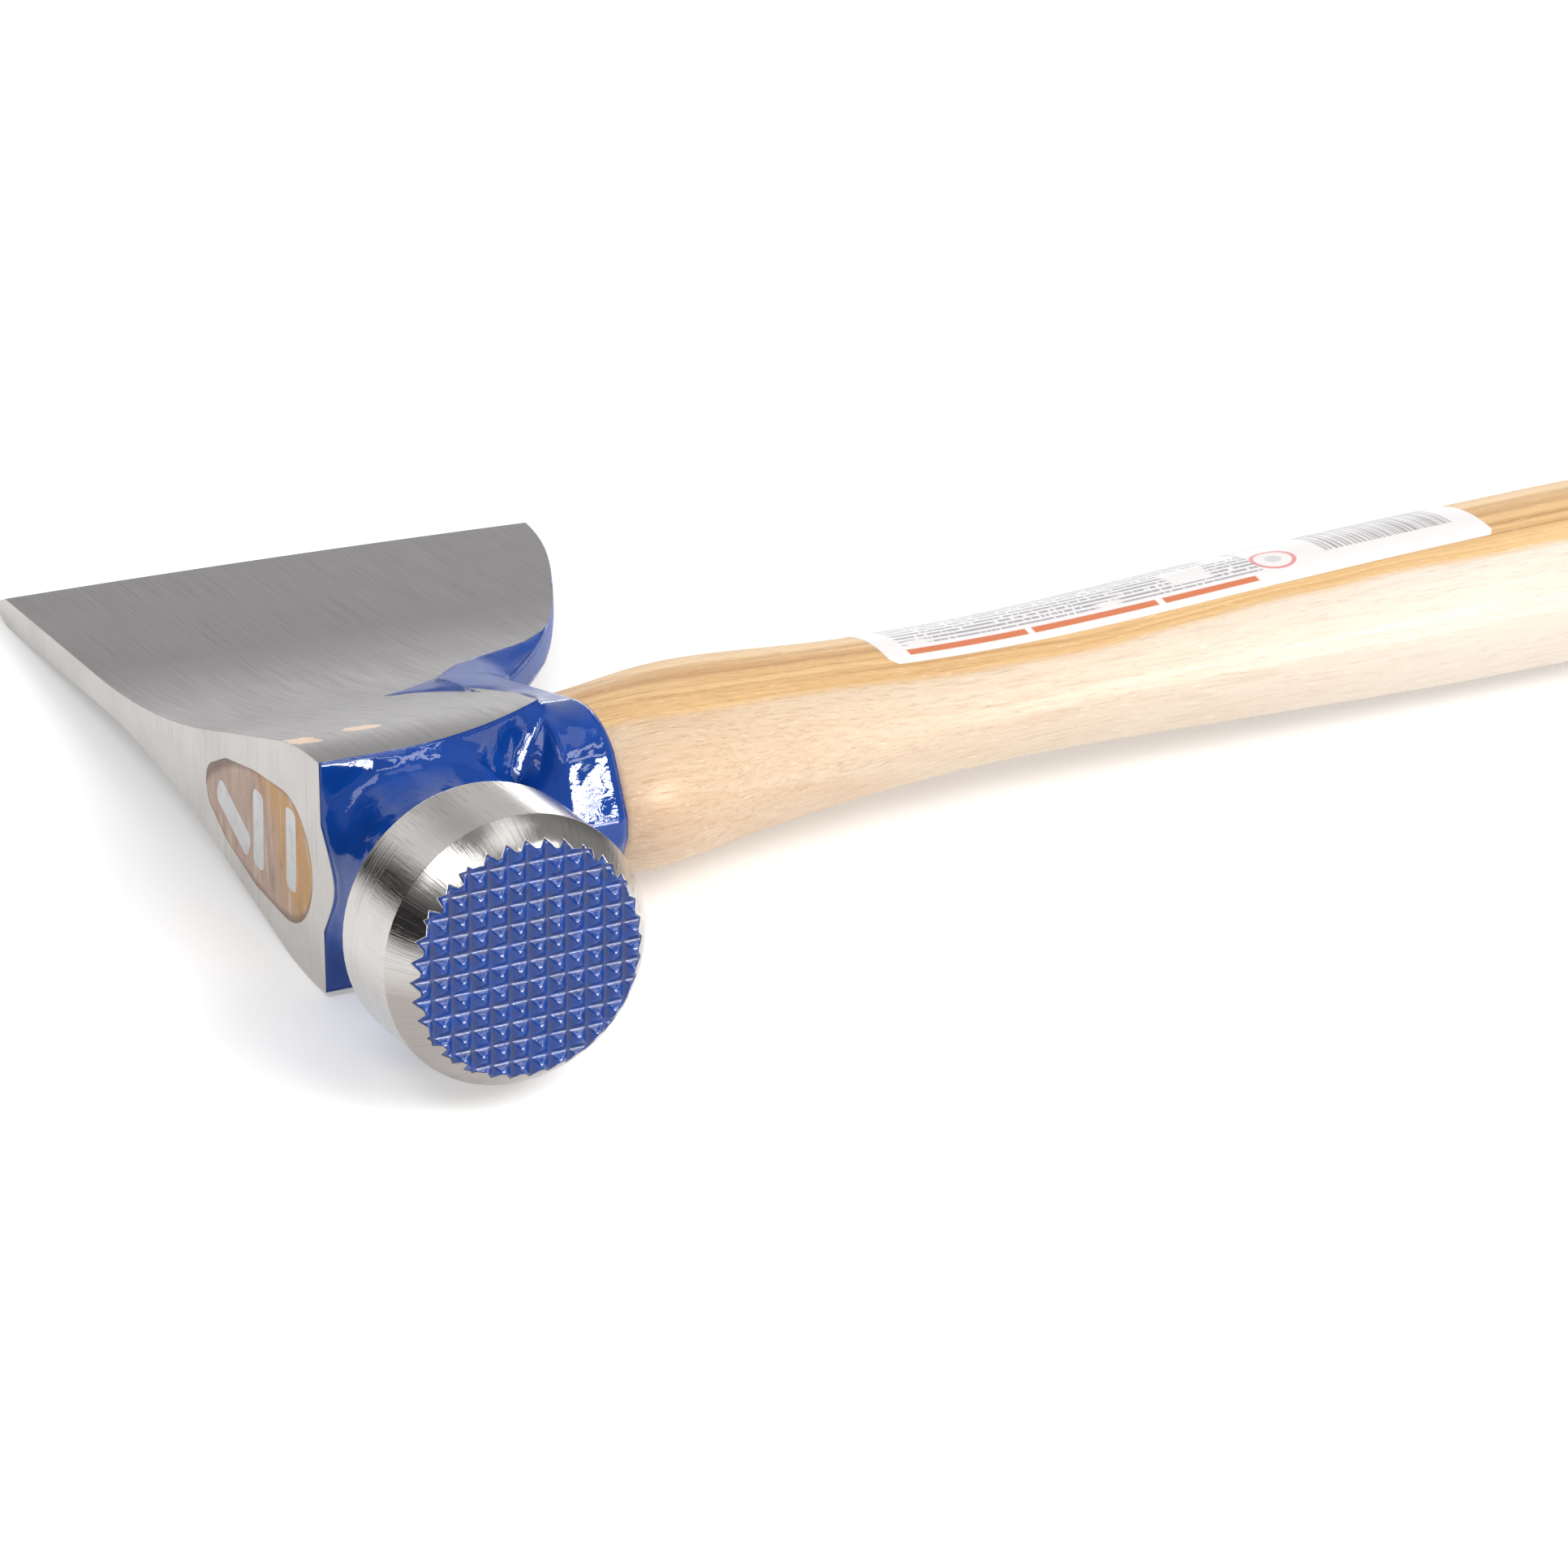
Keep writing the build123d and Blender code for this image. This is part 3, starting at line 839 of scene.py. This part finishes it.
def groove(value):
    """Depth of the nearest V groove at a distance from the middle of the face."""
    slope = GROOVE_DEPTH / ((TOOTH_PITCH - TIP_FLAT) / 2)
    nearest = np.clip(np.round(value / TOOTH_PITCH), -GROOVES_ASIDE, GROOVES_ASIDE) * TOOTH_PITCH
    return np.clip(GROOVE_DEPTH - np.abs(value - nearest) * slope, 0, None)


def ragged(across, up):
    """Small unevenness of the paint, from a few crossing waves."""
    first = np.sin(3.1 * across + 1.7 * up)
    second = np.sin(-2.3 * across + 2.9 * up + 1.0)
    third = np.sin(4.7 * up - 0.8 * across)
    return (first + second + third) / 3


def enamelled_teeth(across, up, deep):
    """Depth of the paint's surface: round tips and flat pools, evened over neighbours."""
    fat = np.sqrt(deep**2 + TIP_ROUND**2) - TIP_ROUND
    pool = GROOVE_FILL + 0.05 * np.sin(across * 0.9 + 1.3) * np.sin(up * 0.7)
    surface = -np.log(np.exp(-fat * BLEND) + np.exp(-pool * BLEND)) / BLEND
    surface += 0.06 * ragged(across * 0.9, up * 0.9) * (surface < 0.5 * GROOVE_FILL)
    kernel = np.hanning(5)[1:-1]
    kernel /= kernel.sum()
    for axis in (0, 1):
        surface = np.apply_along_axis(lambda row: np.convolve(row, kernel, "same"), axis, surface)
    return surface - surface.min()


def meet_chamfer(surface, radius, deep):
    """The paint's surface, sunk under the bare chamfer and level with it where a groove runs out."""
    centre_r, centre_y, arc = circle_through(CHAMFER_BACK, CHAMFER_MID, CHAMFER_FRONT)
    inside_arc = np.clip(arc**2 - (radius - centre_r) ** 2, 0, None)
    chamfer = np.where(radius > CHAMFER_FRONT[0], centre_y - np.sqrt(inside_arc) - FACE_Y, 0.0)
    buried = surface + 2.5 * (chamfer - surface)
    outside = np.where(deep > chamfer + 0.08, chamfer + 0.05, buried)
    return np.where(chamfer > surface - 0.02, outside, surface) - 0.02


def build_milled_face():
    """Enamelled teeth: a fine height field over the striking face, with paint pooled in the grooves."""
    reach = RING_RADIUS - 1.0
    line = np.arange(-reach, reach + MILLED_STEP, MILLED_STEP)
    across, up = np.meshgrid(line, line, indexing="ij")
    radius = np.hypot(across, up)
    deep = np.maximum(groove(across), groove(up))
    surface = meet_chamfer(enamelled_teeth(across, up, deep), radius, deep)
    mesh = bmesh.new()
    verts = {}
    for i, j in zip(*np.nonzero(radius < reach)):
        place = (POLL_AXIS_X + across[i, j], FACE_Y + surface[i, j], up[i, j])
        verts[i, j] = mesh.verts.new(Vector(place) * MM)
    for i, j in verts:
        corners = [(i, j), (i + 1, j), (i + 1, j + 1), (i, j + 1)]
        if all(corner in verts for corner in corners):
            face = mesh.faces.new([verts[corner] for corner in corners])
            face.smooth = True
    data = bpy.data.meshes.new("milled_face_enamel")
    mesh.to_mesh(data)
    mesh.free()
    return add_piece("milled_face_enamel", data)


# ================================================================ stage, lights and camera
CAMERA_YAW = math.radians(-28.458)
CAMERA_PITCH = math.radians(21.041)
CAMERA_ROLL = math.radians(0.235)
CAMERA_PLACE = Vector((-0.227259, -0.571469, 0.240811))
CAMERA_LENS = 110.02


def add_camera():
    """The camera fitted to the photograph: turned by yaw and pitch, then rolled about its own axis."""
    level = math.cos(CAMERA_PITCH)
    back = Vector((math.sin(CAMERA_YAW) * level, -math.cos(CAMERA_YAW) * level, math.sin(CAMERA_PITCH)))
    right = (-back).cross(Vector((0, 0, 1))).normalized()
    up = back.cross(right)
    tilted_right = right * math.cos(CAMERA_ROLL) + up * math.sin(CAMERA_ROLL)
    tilted_up = up * math.cos(CAMERA_ROLL) - right * math.sin(CAMERA_ROLL)
    turn = Matrix((tilted_right, tilted_up, back)).transposed().to_4x4()
    turn.translation = CAMERA_PLACE
    data = bpy.data.cameras.new("camera")
    data.lens = CAMERA_LENS
    data.sensor_width = 36
    data.clip_start = 0.01
    data.clip_end = 50
    camera = add_piece("camera", data)
    camera.matrix_world = turn
    bpy.context.scene.camera = camera


def resting_plane():
    """Unit normal and height of the plane that carries the hatchet at its front, its blade and its butt."""
    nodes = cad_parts
    points = [vertex.co for name in ("head", "handle") for vertex in nodes[name].data.vertices]
    front = [point for point in points if point.y < 0 and point.x < handle_high.x / 2]
    blade = [point for point in points if point.y > head_high.y / 2]
    butt = [point for point in points if point.x > handle_high.x / 2]
    normal = Vector((0, 0, 1))
    rounds = 8
    for _ in range(rounds):
        a, b, c = (min(group, key=normal.dot) for group in (front, blade, butt))
        normal = (b - a).cross(c - a).normalized()
        normal = normal if normal.z > 0 else -normal
    return normal, min(normal.dot(point) for point in points)


FLOOR_GAP = 0.0002
FLOOR_REACH = 12.0


def add_floor():
    """A wide pale floor just under the hatchet as it lies."""
    normal, height = resting_plane()
    side = (Vector((1, 0, 0)) - normal * normal.x).normalized() * FLOOR_REACH
    along = normal.cross(side)
    middle = normal * (height - FLOOR_GAP)
    corners = [middle + side * a + along * b for a, b in ((-1, -1), (1, -1), (1, 1), (-1, 1))]
    mesh = bpy.data.meshes.new("floor")
    mesh.from_pydata(corners, [], [(0, 1, 2, 3)])
    floor = add_piece("floor", mesh)
    s = Shader("pale_floor")
    s.set(Base_Color=(0.80, 0.80, 0.80), Roughness=0.9)
    s.set(Emission_Color=(1.0, 1.0, 1.0), Emission_Strength=0.30)
    mesh.materials.append(s.material)


def add_softbox(name, direction, distance, width, height, radiance):
    """A rectangular light of even radiance that faces the head from that direction."""
    aim = Vector((0.03, 0.0, 0.0))
    place = aim + Vector(direction).normalized() * distance
    data = bpy.data.lights.new(name, "AREA")
    data.shape = "RECTANGLE"
    data.size = width
    data.size_y = height
    data.energy = radiance * math.pi * width * height
    light = add_piece(name, data)
    light.location = place
    light.rotation_mode = "QUATERNION"
    light.rotation_quaternion = (aim - place).to_track_quat("-Z", "Y")
    return light


def add_lights():
    add_softbox("overhead_left_panel", (-0.46, -0.28, 0.84), 1.2, 0.70, 0.40, 3.6)
    add_softbox("overhead_mid_panel", (0.22, -0.14, 0.95), 1.2, 0.60, 0.40, 1.2)
    add_softbox("low_back_strip", (0.44, 0.87, 0.10), 1.6, 1.2, 0.14, 5.5)
    key = add_softbox("front_key", (0.40, -0.66, 0.62), 1.2, 0.80, 0.50, 7.8)
    key.visible_glossy = False


# ================================================================ surroundings
# Brightness: what the camera sees, what lights matt surfaces, what is mirrored, and the dark side of it.
SEEN_LEVEL = 1.0
FILL_LEVEL = 0.55
MIRRORED_LEVEL = 0.34
SHADE_LEVEL = 0.03

# Brightness mirrored from behind the hatchet, as (x, level) from left to right: a dark flag, a tall
# panel, a grey gap and a wide panel.
BACK_PANELS = [
    (-0.62, 0.02), (-0.42, 0.03), (-0.34, 1.00), (-0.14, 0.90), (-0.04, 0.62), (0.14, 0.55),
    (0.26, 0.80), (0.56, 0.66), (0.68, 0.14), (0.85, 0.10),
]

# Windows mirrored from the front right: direction of the middle, half width, half height, brightness.
WINDOWS = [
    ((0.37, -0.82, 0.44), 0.28, 0.055, 30.0),
    ((0.42, -0.62, 0.66), 0.26, 0.08, 6.0),
    ((0.40, -0.89, 0.23), 0.22, 0.018, 24.0),
    ((0.30, -0.47, 0.83), 0.45, 0.05, 6.0),
    ((0.26, -0.91, 0.29), 0.15, 0.09, 24.0),
    ((0.33, -0.94, 0.02), 0.30, 0.11, 16.0),
]


def window_light(w, direction, middle, half_width, half_height, level):
    """Brightness of a rectangular window in the sky, with slightly soft edges."""
    middle = Vector(middle).normalized()
    side = middle.cross(Vector((0, 0, 1))).normalized()
    height = side.cross(middle)
    shares = []
    for axis, reach in ((side, half_width), (height, half_height)):
        terms = [w.mul(socket, share) for socket, share in zip(direction, axis)]
        offset = w.math("ABSOLUTE", w.add(w.add(terms[0], terms[1]), terms[2]))
        shares.append(w.span(offset, reach, reach * 0.94, 0.0, 1.0))
    ahead = w.span(direction[1], 0.0, -0.1, 0.0, level)
    return w.mul(w.mul(*shares), ahead)


def panel_light(w, x):
    """Brightness of the panels behind the hatchet, from left to right."""
    node = w.new("ShaderNodeValToRGB")
    w.put(node.inputs[0], w.span(x, -1.0, 1.0, 0.0, 1.0))
    levels = [(-1, SHADE_LEVEL)] + BACK_PANELS + [(1, MIRRORED_LEVEL)]
    ramp = node.color_ramp
    ramp.elements[0].position = 0.0
    ramp.elements[1].position = 1.0
    for place, _ in BACK_PANELS:
        ramp.elements.new((place + 1) / 2)
    for element, (place, level) in zip(ramp.elements, levels):
        element.position = (place + 1) / 2
        element.color = (level, level, level, 1)
    return node.outputs[0]


def add_world():
    """White where the camera sees it and a soft fill; what is mirrored is dimmer, with panels and windows."""
    world = bpy.data.worlds.new("studio")
    bpy.context.scene.world = world
    world.use_nodes = True
    w = Nodes(world.node_tree)
    direction = w.parts(w.new("ShaderNodeTexCoord").outputs["Generated"])
    x, y, z = direction
    flag = w.mul(w.span(x, -0.50, -0.68, 0.0, 1.0), w.span(z, 0.62, 0.45, 0.0, 1.0))
    ahead = w.span(flag, 0.0, 1.0, MIRRORED_LEVEL, SHADE_LEVEL)
    mirrored = w.mix(w.span(y, 0.15, 0.45, 0.0, 1.0), ahead, panel_light(w, x))
    for window in WINDOWS:
        mirrored = w.add(mirrored, window_light(w, direction, *window))
    path = w.new("ShaderNodeLightPath")
    soft = w.span(path.outputs["Is Glossy Ray"], 0.0, 1.0, FILL_LEVEL, mirrored)
    background = w.new("ShaderNodeBackground")
    w.put(background.inputs["Color"], (1.0, 1.0, 1.0))
    w.put(background.inputs["Strength"], w.mix(path.outputs["Is Camera Ray"], soft, SEEN_LEVEL))
    w.put(w.new("ShaderNodeOutputWorld").inputs[0], background.outputs[0])


# ================================================================ assembly
def dress(piece, material):
    piece.data.materials.clear()
    piece.data.materials.append(material)


def main():
    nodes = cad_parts
    wood = wood_material()
    grip = Grip(nodes["handle"])

    dress(nodes["head"], head_material())
    enamelled = (
        (Film(nodes["head"]).build(), film_material()),
        (build_milled_face(), milled_material()),
    )
    for piece, enamel in enamelled:
        dress(piece, enamel)
        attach(piece, "root")
    steel = wedge_material()
    for name, node in nodes.items():
        if name.startswith("steel_wedge"):
            dress(node, steel)

    body, tongue = build_handle(grip, nodes["handle"])
    for piece in (body, tongue):
        dress(piece, wood)
        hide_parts("handle")
        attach(piece, "root")

    label, length, width = build_label(grip)
    dress(label, label_material(length, width))
    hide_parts("label")
    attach(label, "root")

    add_floor()
    add_world()
    add_lights()
    add_camera()
    bpy.context.scene.view_settings.view_transform = "Standard"


main()
